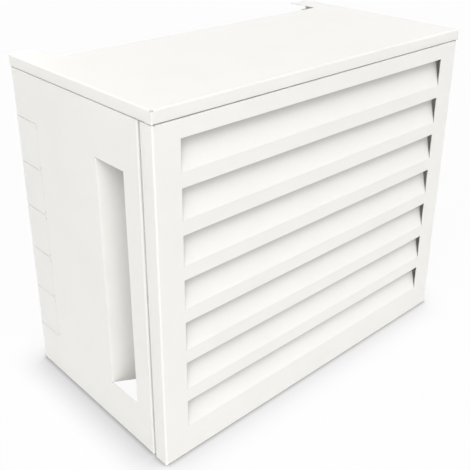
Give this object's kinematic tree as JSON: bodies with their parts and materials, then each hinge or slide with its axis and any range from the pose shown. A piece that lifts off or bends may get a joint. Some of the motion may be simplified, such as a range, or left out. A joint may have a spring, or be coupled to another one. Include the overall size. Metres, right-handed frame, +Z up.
{
  "type": "air conditioner screen",
  "caption": "White sheet-metal screen for an air conditioner's outdoor unit, with a louvred front, slotted sides, fold-in pipe tabs and a lid with ears to the wall.",
  "frame": {"origin": "middle of the footprint's box, on the ground", "axes": "+X to the right along the width, the louvred front faces -Y, +Z up"},
  "size_m": [1, 0.54, 0.84],
  "materials": {
    "powder_coat": "fine matt white powder coat on 2 mm aluminium sheet",
    "screw_steel": "plain stainless steel",
    "nut_zinc": "bright zinc plate",
    "black_nylon": "moulded black nylon"
  },
  "bodies": {
    "screen": {"top_cover": "powder_coat", "front_louvre_panel": "powder_coat", "left_side_panel": "powder_coat", "right_side_panel": "powder_coat", "lid_front_1_screw": "screw_steel", "lid_front_2_screw": "screw_steel", "lid_front_3_screw": "screw_steel", "lid_left_1_screw": "screw_steel", "lid_left_2_screw": "screw_steel", "lid_right_1_screw": "screw_steel", "lid_right_2_screw": "screw_steel", "left_joint_1_screw": "screw_steel", "left_joint_2_screw": "screw_steel", "left_joint_3_screw": "screw_steel", "right_joint_1_screw": "screw_steel", "right_joint_2_screw": "screw_steel", "right_joint_3_screw": "screw_steel", "lid_front_1_rivet_nut": "nut_zinc", "lid_front_2_rivet_nut": "nut_zinc", "lid_front_3_rivet_nut": "nut_zinc", "lid_left_1_rivet_nut": "nut_zinc", "lid_left_2_rivet_nut": "nut_zinc", "lid_right_1_rivet_nut": "nut_zinc", "lid_right_2_rivet_nut": "nut_zinc", "left_joint_1_rivet_nut": "nut_zinc", "left_joint_2_rivet_nut": "nut_zinc", "left_joint_3_rivet_nut": "nut_zinc", "right_joint_1_rivet_nut": "nut_zinc", "right_joint_2_rivet_nut": "nut_zinc", "right_joint_3_rivet_nut": "nut_zinc", "left_joint_1_spacer": "black_nylon", "left_joint_2_spacer": "black_nylon", "left_joint_3_spacer": "black_nylon", "right_joint_1_spacer": "black_nylon", "right_joint_2_spacer": "black_nylon", "right_joint_3_spacer": "black_nylon"},
    "left_pipe_tab_1": {"left_pipe_tab_1": "powder_coat"},
    "left_pipe_tab_2": {"left_pipe_tab_2": "powder_coat"},
    "left_pipe_tab_3": {"left_pipe_tab_3": "powder_coat"},
    "left_pipe_tab_4": {"left_pipe_tab_4": "powder_coat"},
    "left_pipe_tab_5": {"left_pipe_tab_5": "powder_coat"},
    "right_pipe_tab_1": {"right_pipe_tab_1": "powder_coat"},
    "right_pipe_tab_2": {"right_pipe_tab_2": "powder_coat"},
    "right_pipe_tab_3": {"right_pipe_tab_3": "powder_coat"},
    "right_pipe_tab_4": {"right_pipe_tab_4": "powder_coat"},
    "right_pipe_tab_5": {"right_pipe_tab_5": "powder_coat"}
  },
  "joints": [
    {"name": "left_pipe_tab_1_fold", "type": "hinge", "parent": "screen", "child": "left_pipe_tab_1", "pos_m": [-0.4965, 0.17915, 0.173], "axis": [0, 0, -1], "range_deg": [0, 90]},
    {"name": "left_pipe_tab_2_fold", "type": "hinge", "parent": "screen", "child": "left_pipe_tab_2", "pos_m": [-0.4965, 0.17915, 0.289], "axis": [0, 0, -1], "range_deg": [0, 90]},
    {"name": "left_pipe_tab_3_fold", "type": "hinge", "parent": "screen", "child": "left_pipe_tab_3", "pos_m": [-0.4965, 0.17915, 0.405], "axis": [0, 0, -1], "range_deg": [0, 90]},
    {"name": "left_pipe_tab_4_fold", "type": "hinge", "parent": "screen", "child": "left_pipe_tab_4", "pos_m": [-0.4965, 0.17915, 0.521], "axis": [0, 0, -1], "range_deg": [0, 90]},
    {"name": "left_pipe_tab_5_fold", "type": "hinge", "parent": "screen", "child": "left_pipe_tab_5", "pos_m": [-0.4965, 0.17915, 0.637], "axis": [0, 0, -1], "range_deg": [0, 90]},
    {"name": "right_pipe_tab_1_fold", "type": "hinge", "parent": "screen", "child": "right_pipe_tab_1", "pos_m": [0.4965, 0.17915, 0.173], "axis": [0, 0, 1], "range_deg": [0, 90]},
    {"name": "right_pipe_tab_2_fold", "type": "hinge", "parent": "screen", "child": "right_pipe_tab_2", "pos_m": [0.4965, 0.17915, 0.289], "axis": [0, 0, 1], "range_deg": [0, 90]},
    {"name": "right_pipe_tab_3_fold", "type": "hinge", "parent": "screen", "child": "right_pipe_tab_3", "pos_m": [0.4965, 0.17915, 0.405], "axis": [0, 0, 1], "range_deg": [0, 90]},
    {"name": "right_pipe_tab_4_fold", "type": "hinge", "parent": "screen", "child": "right_pipe_tab_4", "pos_m": [0.4965, 0.17915, 0.521], "axis": [0, 0, 1], "range_deg": [0, 90]},
    {"name": "right_pipe_tab_5_fold", "type": "hinge", "parent": "screen", "child": "right_pipe_tab_5", "pos_m": [0.4965, 0.17915, 0.637], "axis": [0, 0, 1], "range_deg": [0, 90]}
  ]
}
